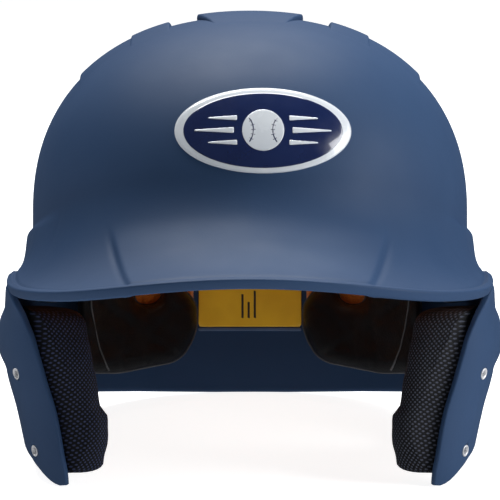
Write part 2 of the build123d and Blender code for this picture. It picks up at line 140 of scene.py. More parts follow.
def smooth_table(table, key):
    """Interpolate every later column of a table at key, a value of its first, with a monotone cubic."""
    x = table[:, 0]
    key = np.clip(np.asarray(key, float), x[0], x[-1])
    i = np.clip(np.searchsorted(x, key, side="right") - 1, 0, len(x) - 2)
    h = x[1:] - x[:-1]
    t = (key - x[i]) / h[i]
    columns = []
    for column in table[:, 1:].T:
        slope = (column[1:] - column[:-1]) / h
        inner = np.where(slope[1:] * slope[:-1] > 0,
                         2 * slope[1:] * slope[:-1] / (slope[1:] + slope[:-1] + 1e-12), 0.0)
        m = np.concatenate([[slope[0]], inner, [slope[-1]]])
        columns.append(hermite(t, column[i], column[i + 1], h[i], m[i], m[i + 1]))
    return columns


def skirt_radius(turn, z):
    """Distance of the skirt from the vertical axis at CENTRE_Y, turn radians from straight ahead."""
    half_width, front, power, rear = smooth_table(SKIRT, z)
    ahead = np.abs(np.cos(turn))
    across = np.abs(np.sin(turn))
    front_radius = ((across / half_width) ** power + (ahead / front) ** power) ** (-1 / power)
    rear_radius = ((across / half_width) ** 2 + (ahead / rear) ** 2) ** -0.5
    return np.where(np.cos(turn) > 0, front_radius, rear_radius)


def skirt_point(turn, z):
    """Point of the outer surface below the shoulder line, with the raised boss round the ear."""
    r = skirt_radius(turn, z)
    x, y = r * np.sin(turn), CENTRE_Y - r * np.cos(turn)
    far = ((np.abs(y - EAR_BOSS[0]) / EAR_BOSS[2]) ** 2.6 + (np.abs(z - EAR_BOSS[1]) / EAR_BOSS[3]) ** 2.6)
    x = x + np.sign(x) * EAR_BOSS[4] * (1 - smooth_step(0.55, 1.15, far ** (1 / 2.6)))
    return np.stack([x, y, z + 0 * x], -1)


def dome_height(x, y):
    """Height of the dome over a plan position."""
    spread = (x / DOME_HALF_WIDTH) ** 2 + ((y - CENTRE_Y) / DOME_REACH) ** 2
    return DOME_Z + DOME_RISE * np.clip(1 - spread ** (DOME_POWER / 2), 0, 1) ** (1 / DOME_POWER)


def dome_normal(points):
    """Outward unit normals of the dome."""
    x, y = points[..., 0] / DOME_HALF_WIDTH, (points[..., 1] - CENTRE_Y) / DOME_REACH
    z = np.clip((points[..., 2] - DOME_Z) / DOME_RISE, 1e-6, None)
    spread = np.sqrt(x * x + y * y) + 1e-9
    steep = spread ** (DOME_POWER - 2)
    up = z ** (DOME_POWER - 1) / DOME_RISE
    return unit(np.stack([steep * x / DOME_HALF_WIDTH, steep * y / DOME_REACH, up], -1))


def brim_low(turn):
    """Height of the rim's lower edge, turn radians from straight ahead as seen from BRIM_Y."""
    turn = np.abs(turn)
    ahead = 95.2 - 5.9 * np.sin(2 * np.minimum(turn, math.pi / 4)) ** 2
    beside = 89.3 + 7.0 * np.clip(4 * turn / math.pi - 1, 0, 1) ** 2
    return np.where(turn < math.pi / 4, ahead, beside)


def rim_point(turn):
    """Shoulder line and brim rim, turn radians from straight ahead as seen from CENTRE_Y."""
    lo, hi = np.zeros_like(turn), np.full_like(turn, 260.0)
    for _ in range(40):
        mid = (lo + hi) / 2
        x, y = mid * np.sin(turn), CENTRE_Y - mid * np.cos(turn)
        ahead = np.maximum(BRIM_Y - y, 0)
        inside = (np.abs(x) / BRIM_HALF_WIDTH) ** BRIM_POWER + (ahead / BRIM_REACH) ** BRIM_POWER < 1
        lo, hi = np.where(inside, mid, lo), np.where(inside, hi, mid)
    brim_x, brim_y = lo * np.sin(turn), CENTRE_Y - lo * np.cos(turn)
    seen = np.arctan2(np.abs(brim_x), BRIM_Y - brim_y)
    brim_z = brim_low(seen) + BRIM_EDGE
    r = skirt_radius(turn, np.full_like(turn, RIM_Z))
    side_x, side_y = r * np.sin(turn), CENTRE_Y - r * np.cos(turn)
    w = smooth_step(math.radians(63), math.radians(76), np.abs(turn))
    return np.stack([brim_x * (1 - w) + side_x * w, brim_y * (1 - w) + side_y * w,
                     brim_z * (1 - w) + RIM_Z * w], -1)


# ---- Mesh making -------------------------------------------------------------------------------
def new_object(name, verts, faces, smooth=True):
    mesh = bpy.data.meshes.new(name)
    mesh.from_pydata([tuple(v) for v in verts], [], [tuple(int(i) for i in f) for f in faces])
    mesh.validate()
    mesh.update()
    if smooth:
        mesh.shade_smooth()
    obj = bpy.data.objects.new(name, mesh)
    bpy.context.scene.collection.objects.link(obj)
    return obj


def grid_faces(index, wrap=False):
    """Quads of a 2-D array of vertex indices, rows down and columns across."""
    right = np.roll(index, -1, axis=1) if wrap else index[:, 1:]
    left = index if wrap else index[:, :-1]
    quads = np.stack([left[:-1], left[1:], right[1:], right[:-1]], -1)
    return quads.reshape(-1, 4)


def vertex_normals(verts, faces):
    """Area-weighted normals of a quad mesh."""
    a, b, c, d = (verts[faces[:, k]] for k in range(4))
    face_normals = np.cross(c - a, d - b)
    normals = np.zeros_like(verts)
    for k in range(4):
        np.add.at(normals, faces[:, k], face_normals)
    return unit(normals, 1e-12)


def boundary_pairs(faces):
    """Directed edges that belong to one face only."""
    edges = np.concatenate([np.stack([faces[:, k], faces[:, (k + 1) % 4]], -1) for k in range(4)])
    edges = edges[edges[:, 0] != edges[:, 1]]
    key = edges.min(1) * (edges.max() + 1) + edges.max(1)
    _, first, count = np.unique(key, return_index=True, return_counts=True)
    return edges[first[count == 1]]


def thicken(verts, faces, thickness):
    """Closed sheet: verts are the outer surface, with a rounded edge along every boundary."""
    normals = vertex_normals(verts, faces)
    inner = verts - normals * thickness[:, None]
    n = len(verts)
    all_verts = [verts, inner]
    all_faces = [faces, faces[:, ::-1] + n]
    edges = boundary_pairs(faces)
    outward = np.zeros_like(verts)
    for a, b in edges:
        along = verts[b] - verts[a]
        side = np.cross(along, normals[a] + normals[b])
        side /= np.linalg.norm(side) + 1e-12
        outward[a] += side
        outward[b] += side
    rim = np.unique(edges)
    push = unit(outward[rim], 1e-12)
    push -= normals[rim] * np.sum(push * normals[rim], axis=1, keepdims=True)
    r = np.minimum(EDGE_ROUND, thickness[rim] * 0.48)[:, None]
    rows = [rim]
    start = 2 * n
    angles = [math.radians(v) for v in (30, 60, 90)]
    steps = [(verts, -1, a) for a in angles] + [(inner, 1, a) for a in reversed(angles)]
    for origin, sign, angle in steps:
        ring = origin[rim] + push * r * math.sin(angle) + sign * normals[rim] * r * (1 - math.cos(angle))
        all_verts.append(ring)
        rows.append(np.arange(start, start + len(rim)))
        start += len(rim)
    rows.append(rim + n)
    rows = np.array(rows)
    place = {v: i for i, v in enumerate(rim)}
    a_col = np.array([place[a] for a, _ in edges])
    b_col = np.array([place[b] for _, b in edges])
    for k in range(len(rows) - 1):
        here, after = rows[k], rows[k + 1]
        all_faces.append(np.stack([here[b_col], here[a_col], after[a_col], after[b_col]], -1))
    return np.concatenate(all_verts), np.concatenate(all_faces)


def fitted_hole(verts, faces, flat, shape, lay):
    """Remove the faces whose middle is inside a flat shape and lay the new boundary along its outline."""
    inside, onto = shape
    old = set(map(tuple, np.sort(boundary_pairs(faces), axis=1)))
    faces = faces[~inside(flat[faces].mean(1))]
    new = [e for e in map(tuple, np.sort(boundary_pairs(faces), axis=1)) if e not in old]
    ring = np.unique(np.array(new).ravel())
    verts[ring] = lay(onto(flat[ring]), verts[ring])
    return faces


# ---- Shell -------------------------------------------------------------------------------------
TEMPLE_SHELF = 2.3                           # step where the brim's moulding leaves the dome
# By degrees from straight ahead: share of that step, height where the flare leaves the dome, its droop
# at the rim, and how strongly it is drawn out.
SHELF_SHARE = np.array([(50, 0), (64, 1), (95, 1), (125, 0)])
FLARE_START = np.array([(0, 146), (25, 142), (45, 135), (62, 128), (80, 123), (100, 121), (125, 116),
                        (180, 114)])
FLARE_TILT = np.array([(0, 13), (30, 15), (50, 20), (65, 32), (80, 50), (100, 55), (125, 82), (180, 90)])
FLARE_PULL = np.array([(0, 1.05), (40, 1.05), (65, 1.0), (100, 0.8), (180, 1.0)])
COLUMNS_FRONT, COLUMNS_BACK = 150, 92        # columns of each half, ahead of and behind the flap's top
DOME_ROWS, FLARE_ROWS, SKIRT_ROWS = 60, 44, 48
FLARE_STEPS = 1 - (1 - np.arange(1, FLARE_ROWS + 1) / FLARE_ROWS) ** 1.5     # closer together at the rim
LIP_HEIGHT, LIP_WIDTH, LIP_GROOVE = 0.9, 3.2, 0.3        # raised bead along the brim's rim
CREASE_X, CREASE_LEAN, CREASE_STEP, CREASE_GROOVE = 60.0, 10.0, 1.0, 0.6     # fold line beside the brim
SHOULDER_FADE = 14.0                         # the skirt meets the shoulder line over this height
FLAP_TURN = math.atan2(111.0, CENTRE_Y + 50.0)
VENTS = (((31.0, 22.0), 17.0), ((31.0, 80.0), 10.0))     # plan centre and half straight length
VENT_HALF_WIDTH = 4.2
REAR_VENT, REAR_VENT_RUN = (24.0, 148.0), 12.5           # centre x, z and half straight length


def front_column(turn):
    """Rows of the outer surface from near the crown to the shoulder line or the brim's rim."""
    degrees = np.degrees(np.abs(turn))
    start_z = np.interp(degrees, *FLARE_START.T)
    reach = ((np.sin(turn) / DOME_HALF_WIDTH) ** 2 + (np.cos(turn) / DOME_REACH) ** 2) ** -0.5
    start = np.arcsin(((np.maximum(start_z, DOME_Z) - DOME_Z) / DOME_RISE) ** (DOME_POWER / 2))
    rows = []
    for k in range(DOME_ROWS):
        share = 1 - k / (DOME_ROWS - 1)
        t = start + (math.radians(88.0) - start) * share
        r = reach * np.cos(t) ** (2 / DOME_POWER)
        z = DOME_Z + DOME_RISE * np.sin(t) ** (2 / DOME_POWER)
        rows.append(np.stack([r * np.sin(turn), CENTRE_Y - r * np.cos(turn), z], -1))
    below = np.stack([reach * np.sin(turn), CENTRE_Y - reach * np.cos(turn), start_z], -1)
    top = np.where((start_z < DOME_Z)[..., None], below, rows[-1])
    rows[-1] = top
    rim = rim_point(turn)
    chord = np.linalg.norm(rim - top, axis=-1, keepdims=True)
    down = unit(rows[-1] - rows[-2], 1e-12)
    tilt = np.radians(np.interp(degrees, *FLARE_TILT.T))
    out = np.stack([np.sin(turn) * np.cos(tilt), -np.cos(turn) * np.cos(tilt), -np.sin(tilt)], -1)
    strength = np.interp(degrees, *FLARE_PULL.T)[..., None]
    for t in FLARE_STEPS:
        point = hermite(t, top, rim, chord * strength, down, out)
        shelf = TEMPLE_SHELF * np.interp(degrees, *SHELF_SHARE.T)
        shelf = shelf * smooth_step(0.03, 0.16, t) * (1 - smooth_step(0.2, 0.8, t))
        point[..., 0] += shelf * np.sin(turn)
        point[..., 1] -= shelf * np.cos(turn)
        rows.append(point)
    return rows


def flap_front_turns():
    """Turn of the flap's front edge at each of its heights, seen from the axis at CENTRE_Y."""
    z = FLAP_FRONT[:, 1]
    half_width, front, power, _ = smooth_table(SKIRT, z)
    ahead = CENTRE_Y - FLAP_FRONT[:, 0]
    x = half_width * (1 - np.clip(ahead / front, 0, 0.999) ** power) ** (1 / power)
    return np.arctan2(x, ahead)


def lower_edge_heights(turns):
    """Height of the lower edge at each turn, by repeated lookup."""
    z = np.full_like(turns, 30.0)
    for _ in range(30):
        y = CENTRE_Y - skirt_radius(turns, z) * np.cos(turns)
        z = 0.5 * z + 0.5 * np.interp(y, LOWER_EDGE[:, 0], LOWER_EDGE[:, 1])
    return z


def spread_evenly(path, count):
    """Resample a 2-D path at even steps of its length."""
    step = np.concatenate([[0], np.cumsum(np.linalg.norm(np.diff(path * [90, 1], axis=0), axis=1))])
    at = np.linspace(0, step[-1], count)
    return np.column_stack([np.interp(at, step, path[:, k]) for k in (0, 1)])


def make_shell_sheet():
    """Outer surface of the shell as verts, quads and wall thickness."""
    ahead = np.linspace(0, FLAP_TURN, COLUMNS_FRONT + 1)
    behind = np.linspace(FLAP_TURN, math.pi, COLUMNS_BACK + 1)
    half = np.concatenate([ahead, behind[1:]])
    turns = np.concatenate([half, -half[-2:0:-1]])
    count = len(turns)
    rows = front_column(turns)
    verts = [np.array(rows).reshape(-1, 3)]
    index = np.arange(len(rows) * count).reshape(len(rows), count)
    faces = [grid_faces(index, wrap=True)]
    verts.append(np.array([[0.0, CENTRE_Y, DOME_Z + DOME_RISE]]))
    pole = len(rows) * count
    ring = index[0]
    faces.append(np.stack([np.full(count, pole), np.full(count, pole), ring, np.roll(ring, -1)], -1))
    used = pole + 1

    first = COLUMNS_FRONT
    columns = half[first:]
    share = (columns - columns[0]) / (columns[-1] - columns[0])
    fall = np.linspace(0, 1, SKIRT_ROWS + 1)
    fine_z = np.linspace(FLAP_FRONT[0, 1], FLAP_FRONT[-1, 1], 200)
    front_turns = flap_front_turns()
    table = np.column_stack([FLAP_FRONT[:, 1], front_turns])[::-1]
    edge = spread_evenly(np.column_stack([smooth_table(table, fine_z)[0], fine_z]), SKIRT_ROWS + 1)
    edge[0] = (columns[0], RIM_Z)
    toe = edge[-1, 0]
    fine_turn = np.linspace(toe, math.pi, 400)
    hem = spread_evenly(np.column_stack([fine_turn, lower_edge_heights(fine_turn)]), len(columns))
    hem[0] = edge[-1]
    top = np.column_stack([columns, np.full(len(columns), RIM_Z)])
    back = np.column_stack([np.full(len(fall), math.pi), RIM_Z + (hem[-1, 1] - RIM_Z) * fall])
    u, v = share[None, :, None], fall[:, None, None]
    patch = ((1 - v) * top[None] + v * hem[None] + (1 - u) * edge[:, None] + u * back[:, None]
             - (1 - u) * (1 - v) * top[0] - u * (1 - v) * top[-1] - (1 - u) * v * hem[0] - u * v * hem[-1])
    points = skirt_point(patch[..., 0], patch[..., 1])
    meet = rim_point(columns)
    gap = meet - points[0]
    fade = np.clip(1 - (RIM_Z - patch[..., 1]) / SHOULDER_FADE, 0, 1)[..., None] ** 2
    points = points + gap[None] * fade
    for sign in (1, -1):
        side = points * [sign, 1, 1]
        block = side[1:].reshape(-1, 3)
        rows_here = np.arange(used, used + len(block)).reshape(SKIRT_ROWS, len(columns))
        used += len(block)
        if sign == 1:
            top_row = index[-1, first:first + len(columns)]
            left_hem = rows_here
        else:
            top_row = index[-1, (-(first + np.arange(len(columns)))) % count]
            rows_here[:, -1] = left_hem[:, -1]
        full = np.vstack([top_row, rows_here])
        quads = grid_faces(full)
        faces.append(quads if sign == 1 else quads[:, ::-1])
        verts.append(block)
    verts = np.concatenate(verts)
    faces = np.concatenate(faces)
    flare = np.zeros(len(verts))
    flare[:len(rows) * count].reshape(len(rows), count)[DOME_ROWS:] = FLARE_STEPS[:, None]
    seen = np.abs(np.arctan2(verts[:, 0], CENTRE_Y - verts[:, 1]))
    crease = CREASE_X - CREASE_LEAN * (flare - 0.35) / 0.62
    beside = np.abs(verts[:, 0]) - crease
    lift = CREASE_STEP * (1 - smooth_step(-0.6, 0.6, beside))
    lift -= CREASE_GROOVE * np.exp(-((beside - 1.5) / 1.1) ** 2)
    lift *= smooth_step(0.25, 0.5, flare) * (1 - smooth_step(0.9, 1.0, flare)) * (verts[:, 1] < -60)
    to_rim = np.full(len(verts), 1e3)
    to_rim[:len(rows) * count] = np.linalg.norm(np.array(rows) - rows[-1], axis=-1).ravel()
    brim_only = 1 - smooth_step(math.radians(84), math.radians(96), seen)
    lift += LIP_HEIGHT * (1 - smooth_step(LIP_WIDTH - 0.7, LIP_WIDTH, to_rim)) * brim_only * (flare > 0)
    lift -= LIP_GROOVE * np.exp(-((to_rim - LIP_WIDTH - 0.7) / 0.8) ** 2) * brim_only * (flare > 0)
    verts = verts + vertex_normals(verts, faces) * lift[:, None]
    over_brim = 1 - smooth_step(math.radians(60), math.radians(75), seen)
    thickness = WALL + (BRIM_EDGE - WALL) * flare * over_brim
    return verts, faces, thickness


def ellipse_shape(centre, half):
    """Inside test and outline of an ellipse."""
    def inside(p):
        return ((p[:, 0] - centre[0]) / half[0]) ** 2 + ((p[:, 1] - centre[1]) / half[1]) ** 2 < 1

    def onto(p):
        d = p - centre
        scale = np.sqrt((d[:, 0] / half[0]) ** 2 + (d[:, 1] / half[1]) ** 2)[:, None]
        return centre + d / scale

    return inside, onto


def slot_shape(centre, run, half_width):
    """Inside test and outline of a slot with round ends; run is its half straight length each way."""
    low, high = np.array(centre) - run, np.array(centre) + run

    def inside(p):
        return np.linalg.norm(p - np.clip(p, low, high), axis=1) < half_width

    def onto(p):
        near = np.clip(p, low, high)
        d = p - near
        return near + d / (np.linalg.norm(d, axis=1, keepdims=True) + 1e-9) * half_width

    return inside, onto


def on_flap(p, old):
    """(y, z) from the side, onto the skirt on the same side as the old points."""
    side = np.sign(old[:, 0])
    ahead = CENTRE_Y - p[:, 0]
    turn = np.arctan2(old[:, 0], ahead)
    for _ in range(12):
        r = skirt_radius(turn, p[:, 1])
        turn = np.arctan2(side * np.sqrt(np.maximum(r**2 - ahead**2, 1)), ahead)
    return skirt_point(turn, p[:, 1])


def on_dome_top(p, old):
    """(x, y) from above, onto the dome."""
    return np.column_stack([p[:, 0] * np.sign(old[:, 0]), p[:, 1], dome_height(p[:, 0], p[:, 1])])


def on_dome_rear(p, old):
    """(x, z) from behind, onto the dome."""
    spread = (1 - ((p[:, 1] - DOME_Z) / DOME_RISE) ** DOME_POWER) ** (1 / DOME_POWER)
    reach = DOME_REACH * np.sqrt(spread**2 - (p[:, 0] / DOME_HALF_WIDTH) ** 2)
    return np.column_stack([p[:, 0] * np.sign(old[:, 0]), CENTRE_Y + reach, p[:, 1]])


def cut_shell(verts, faces):
    """Ear holes, crown vents and rear slots, each cut in a flat view of one half and laid back on."""
    width = VENT_HALF_WIDTH + EDGE_ROUND
    # Shape, the two axes of its view, the third axis, the least value there, and the way back.
    cuts = [(ellipse_shape(np.array(EAR), np.array(EAR_HOLE) + EDGE_ROUND), (1, 2), 0, 60, on_flap)]
    cuts += [(slot_shape(centre, (0, run), width), (0, 1), 2, 150, on_dome_top) for centre, run in VENTS]
    cuts.append((slot_shape(REAR_VENT, (REAR_VENT_RUN, 0), width), (0, 2), 1, 60, on_dome_rear))
    for side in (1, -1):
        for shape, view, depth_axis, least, lay in cuts:
            half = verts * [side, 1, 1]
            flat = half[:, list(view)]
            flat[half[:, depth_axis] < least] = FAR_AWAY
            faces = fitted_hole(verts, faces, flat, shape, lay)
    return faces


def closed_plate(top, bottom):
    """Closed mesh between two grids of points of the same size."""
    rows, cols = top.shape[:2]
    index = np.arange(rows * cols).reshape(rows, cols)
    low = index + rows * cols
    faces = [grid_faces(index), grid_faces(low)[:, ::-1]]
    loop = np.concatenate([index[:-1, 0], index[-1, :-1], index[:0:-1, -1], index[0, :0:-1]])
    after = np.roll(loop, -1)
    faces.append(np.stack([loop, after, after + rows * cols, loop + rows * cols], -1)[:, ::-1])
    return np.concatenate([top.reshape(-1, 3), bottom.reshape(-1, 3)]), np.concatenate(faces)


RIDGE_ROUND = 1.1
# Side, inner and outer edge, front and rear end, height and narrowing towards the front.
RIDGES = [(1, -25.0, 25.0, -52.0, 114.0, 3.1, 9.0)]
for inner_edge, outer_edge, front_end, rear_end, ridge_height in ((37.0, 55.5, -46.0, 102.0, 2.6),
                                                                  (50.0, 79.5, -44.0, 86.0, 1.7)):
    RIDGES += [(side, inner_edge, outer_edge, front_end, rear_end, ridge_height, 0.0) for side in (1, -1)]


def ridge(side, inner, outer, front, rear, height, narrow):
    """Raised panel on the crown that rises out of the dome towards the rear."""
    y = front + (rear - front) * np.linspace(0, 1, 90) ** 0.9
    share = 0.5 - 0.5 * np.cos(np.linspace(0, math.pi, 34))
    taper = narrow * (1 - smooth_step(front, front + 45, y))
    low, high = np.broadcast_to(inner, y.shape), outer - taper
    if inner < 0:
        low = -high
    x = low[:, None] + (high - low)[:, None] * share[None]
    edge = np.clip(np.minimum(x - low[:, None], high[:, None] - x) / RIDGE_ROUND, 0, 1)
    end = np.clip((rear - y) / 9.0, 0, 1)
    climb = smooth_step(front, front + 42, y) * np.sqrt(1 - (1 - end) ** 2)
    lift = height * climb[:, None] * np.sqrt(1 - (1 - edge) ** 2) - 0.3
    x = x * side
    yy = np.broadcast_to(y[:, None], x.shape)
    base = np.stack([x, yy, dome_height(x, yy)], -1)
    normal = dome_normal(base)
    verts, faces = closed_plate(base + normal * lift[..., None], base - normal * 1.4)
    return verts, faces if side > 0 else faces[:, ::-1]


def make_shell():
    verts, faces, thickness = make_shell_sheet()
    faces = cut_shell(verts, faces)
    verts, faces = thicken(verts, faces, thickness)
    for row in RIDGES:
        more, quads = ridge(*row)
        faces = np.concatenate([faces, quads + len(verts)])
        verts = np.concatenate([verts, more])
    return verts, faces


def flat_faces(faces):
    """Quads with repeated corners become triangles."""
    out = []
    for f in faces:
        corners = list(dict.fromkeys(int(i) for i in f))
        if len(corners) > 2:
            out.append(corners)
    return out


# ---- Fitting pieces onto the form ----------------------------------------------------------------
# Stations of the smooth form inside the shell: height, half width, front reach, squareness, rear reach.
FORM = np.vstack([SKIRT[SKIRT[:, 0] < 70], [
    (80.0, 114.5, 82.5, 4.5, 123.0),
    (90.0, 113.5, 90.0, 3.9, 124.5),
    (100.0, 110.4, 110.0, 2.9, 126.0),
    (107.0, 106.2, 119.0, 2.45, 126.5),
    (120.0, 104.2, 125.0, 2.08, 126.5),
    (130.0, 103.0, 126.0, 2.0, 126.0),
]])


def form_sizes(z, depth):
    """Half width, front reach, squareness and rear reach of the form, depth below its surface."""
    half_width, front, power, rear = smooth_table(FORM, z)
    above = np.clip((z - DOME_Z) / (DOME_RISE - depth), 0, 0.9999)
    spread = (1 - above**DOME_POWER) ** (1 / DOME_POWER)
    return (half_width - depth) * spread, (front - depth) * spread, power, (rear - depth) * spread


def on_front(p, depth):
    """(x, z) seen from the front, onto the front of the form."""
    half_width, front, power, _ = form_sizes(p[:, 1], depth)
    y = CENTRE_Y - front * (1 - np.clip(np.abs(p[:, 0]) / half_width, 0, 0.999) ** power) ** (1 / power)
    return np.column_stack([p[:, 0], y, p[:, 1]])


def on_rear(p, depth):
    half_width, _, _, rear = form_sizes(p[:, 1], depth)
    y = CENTRE_Y + rear * np.sqrt(1 - np.clip(np.abs(p[:, 0]) / half_width, 0, 0.999) ** 2)
    return np.column_stack([p[:, 0], y, p[:, 1]])


def on_side(side):
    """(y, z) seen from the side, onto the left (1) or right (-1) of the form."""
    def place(p, depth):
        half_width, front, power, rear = form_sizes(p[:, 1], depth)
        ahead = p[:, 0] < CENTRE_Y
        power = np.where(ahead, power, 2.0)
        share = np.clip(np.abs(p[:, 0] - CENTRE_Y) / np.where(ahead, front, rear), 0, 0.999)
        x = half_width * (1 - share**power) ** (1 / power)
        return np.column_stack([side * x, p[:, 0], p[:, 1]])
    return place


def on_crown(p, depth):
    """(x, y) seen from above, onto the dome."""
    spread = (p[:, 0] / (DOME_HALF_WIDTH - depth)) ** 2 + ((p[:, 1] - CENTRE_Y) / (DOME_REACH - depth)) ** 2
    z = DOME_Z + (DOME_RISE - depth) * np.clip(1 - spread ** (DOME_POWER / 2), 0, 1) ** (1 / DOME_POWER)
    return np.column_stack([p[:, 0], p[:, 1], z])


# The ear pad's face: x by y, and how much further out it stands by z.
EAR_PAD_FACE = np.array([(-90.0, 64.5), (-58.0, 67.0), (-28.0, 75.0), (6.0, 83.0), (60.0, 88.0)])
EAR_PAD_LEAN = np.array([(10.0, -0.5), (18.0, -1.2), (30.0, -2.8), (37.0, -2.4), (42.0, 0.8), (48.0, 1.6),
                         (60.0, 4.0), (80.0, 7.5), (90.0, 8.5)])


def in_ear_cup(side):
    """(y, z) from the side, and a share from the shell (0) to the pad's face by the cheek (1)."""
    wall = on_side(1)

    def place(p, share):
        far = wall(p, WALL + 0.5 + 1.9 * smooth_step(-58.0, -46.0, p[:, 0]))[:, 0]
        lean = smooth_table(EAR_PAD_LEAN, p[:, 1])[0] * (1 - smooth_step(-30.0, 10.0, p[:, 0]))
        near = smooth_table(EAR_PAD_FACE, p[:, 0])[0] + lean
        return np.column_stack([side * (far + (near - far) * share), p[:, 0], p[:, 1]])
    return place


def rounded_loop(corners, radius, step=1.6):
    """Closed outline through corners with rounded corners, resampled at even steps."""
    corners = np.array(corners, float)
    path = []
    for k in range(len(corners)):
        before, at, after = corners[k - 1], corners[k], corners[(k + 1) % len(corners)]
        u, v = before - at, after - at
        lu, lv = np.linalg.norm(u), np.linalg.norm(v)
        r = min(radius, 0.45 * lu, 0.45 * lv)
        a, b = at + u / lu * r, at + v / lv * r
        for t in np.linspace(0, 1, 7):
            path.append((1 - t) ** 2 * a + 2 * t * (1 - t) * at + t * t * b)
    return even_loop(np.array(path), step)


def even_loop(path, step):
    closed = np.vstack([path, path[:1]])
    run = np.concatenate([[0], np.cumsum(np.linalg.norm(np.diff(closed, axis=0), axis=1))])
    at = np.linspace(0, run[-1], max(12, int(run[-1] / step)) + 1)[:-1]
    return np.column_stack([np.interp(at, run, closed[:, k]) for k in (0, 1)])


def ellipse_loop(centre, half, step=1.6):
    turn = np.linspace(0, 2 * math.pi, 200, endpoint=False)
    x, y = centre[0] + half[0] * np.cos(turn), centre[1] + half[1] * np.sin(turn)
    return even_loop(np.column_stack([x, y]), step)


def line_distance(points, line, closed=False):
    """Distance of each point from a polyline."""
    line = np.array(line, float)
    a = line if closed else line[:-1]
    b = np.roll(line, -1, axis=0) if closed else line[1:]
    d = b - a
    best = np.full(len(points), 1e9)
    for p, q in zip(a, d):
        t = np.clip(((points - p) @ q) / max(q @ q, 1e-9), 0, 1)
        best = np.minimum(best, np.linalg.norm(points - p - t[:, None] * q, axis=1))
    return best


def inside_loop(points, loop):
    x, y = points[:, 0], points[:, 1]
    a, b = loop, np.roll(loop, -1, axis=0)
    hit = np.zeros(len(points), bool)
    for (x0, y0), (x1, y1) in zip(a, b):
        crosses = (y0 > y) != (y1 > y)
        with np.errstate(divide="ignore", invalid="ignore"):
            hit ^= crosses & (x < (x1 - x0) * (y - y0) / (y1 - y0 + 1e-12) + x0)
    return hit


def inside_outline(points, loops):
    """Inside an outline (loops[0]) and outside its holes."""
    keep = inside_loop(points, loops[0])
    for hole in loops[1:]:
        keep &= ~inside_loop(points, hole)
    return keep


def edge_gap(points, loops):
    """Distance of each point from the nearest of some closed loops."""
    return np.min([line_distance(points, loop, True) for loop in loops], axis=0)


def inset_ring(loop, distance, outward):
    """Loop moved in by a distance, for close rows of points along an edge."""
    along = np.roll(loop, -1, axis=0) - np.roll(loop, 1, axis=0)
    side = unit(np.column_stack([-along[:, 1], along[:, 0]]))
    area = np.sum(loop[:, 0] * np.roll(loop[:, 1], -1) - loop[:, 1] * np.roll(loop[:, 0], -1))
    sign = (1 if area > 0 else -1) * (-1 if outward else 1)
    return loop + side * sign * distance


EDGE_ROWS = (0.12, 0.4, 0.9, 1.6, 2.6, 4.0)


def filled(loops, pitch):
    """Points and triangles that fill an outline (loops[0]) less its holes, and edge distances."""
    points = list(loops)
    edge_count = sum(len(loop) for loop in loops)
    edges, start = [], 0
    for loop in loops:
        edges += [(start + i, start + (i + 1) % len(loop)) for i in range(len(loop))]
        start += len(loop)
    for distance in EDGE_ROWS:
        for k, loop in enumerate(loops):
            ring = inset_ring(loop, distance, outward=k > 0)
            points.append(ring[edge_gap(ring, loops) > distance * 0.93])
    low, high = loops[0].min(0), loops[0].max(0)
    gx, gy = np.meshgrid(np.arange(low[0], high[0], pitch), np.arange(low[1], high[1], pitch))
    gx[1::2] += pitch / 2
    grid = np.column_stack([gx.ravel(), gy.ravel()])
    points.append(grid[edge_gap(grid, loops) > EDGE_ROWS[-1] + 0.4 * pitch])
    points = np.vstack(points)
    keep = inside_outline(points, loops)
    keep[:edge_count] = True
    points = points[keep]
    found = delaunay_2d_cdt([Vector(p) for p in points], edges, [], 0, 1e-6)
    points = np.array([tuple(p) for p in found[0]])
    triangles = np.array([f for f in found[2] if len(f) == 3])
    triangles = triangles[inside_outline(points[triangles].mean(1), loops)]
    return points, triangles, edge_gap(points, loops)


def set_uv(obj, flat):
    """UV in millimetres of the flat pattern, for the weave."""
    layers = obj.data.uv_layers
    layer = layers.get("pattern") or layers.new(name="pattern")
    index = np.empty(len(obj.data.loops), int)
    obj.data.loops.foreach_get("vertex_index", index)
    layer.data.foreach_set("uv", flat[index].astype(np.float32).ravel())


def outward(obj):
    """Make every face normal point out of the closed piece."""
    bm = bmesh.new()
    bm.from_mesh(obj.data)
    bmesh.ops.recalc_face_normals(bm, faces=bm.faces)
    bm.to_mesh(obj.data)
    bm.free()
    obj.data.shade_smooth()


SWELL_POWER = 2.3


def swelling(gap, edge, power):
    """Share of the full thickness at a distance from the edge of a cushion."""
    return (1 - np.clip(1 - gap / edge, 0, 1) ** power) ** (1 / power)


def cushion(name, loops, place, back, face, edge, grooves=(), groove=(1.0, 1.2), power=SWELL_POWER,
            pitch=2.2, wrinkle=0.0):
    """Soft closed piece: flat on its back, swelling from its edge to its face, with pressed lines.

    groove is (depth, width) of the pressed lines.
    """
    points, triangles, gap = filled(loops, pitch)
    swell = swelling(gap, edge, power)
    span = face - back
    press = np.zeros(len(points))
    for line in grooves:
        press = np.maximum(press, np.exp(-(line_distance(points, line) / groove[1]) ** 2))
    ripple = wrinkle * (np.sin(points[:, 0] * 0.31 + 1.7 * np.sin(points[:, 1] * 0.17))
                        * np.sin(points[:, 1] * 0.27 + 1.3 * np.sin(points[:, 0] * 0.13)))
    relief = (groove[0] * press - ripple) * np.clip(swell, 0, 1) * min(abs(span), 1.0)
    front = place(points, back + span * swell - np.sign(span) * relief)
    flat_back = place(points, np.full(len(points), float(back)))
    n = len(points)
    edge_points = gap < 1e-6
    again = np.where(edge_points, np.arange(n), np.arange(n) + n)
    faces = np.vstack([triangles, again[triangles][:, ::-1]])
    obj = new_object(name, rest(np.vstack([front, flat_back])), faces)
    set_uv(obj, np.vstack([points, points]))
    outward(obj)
    return obj


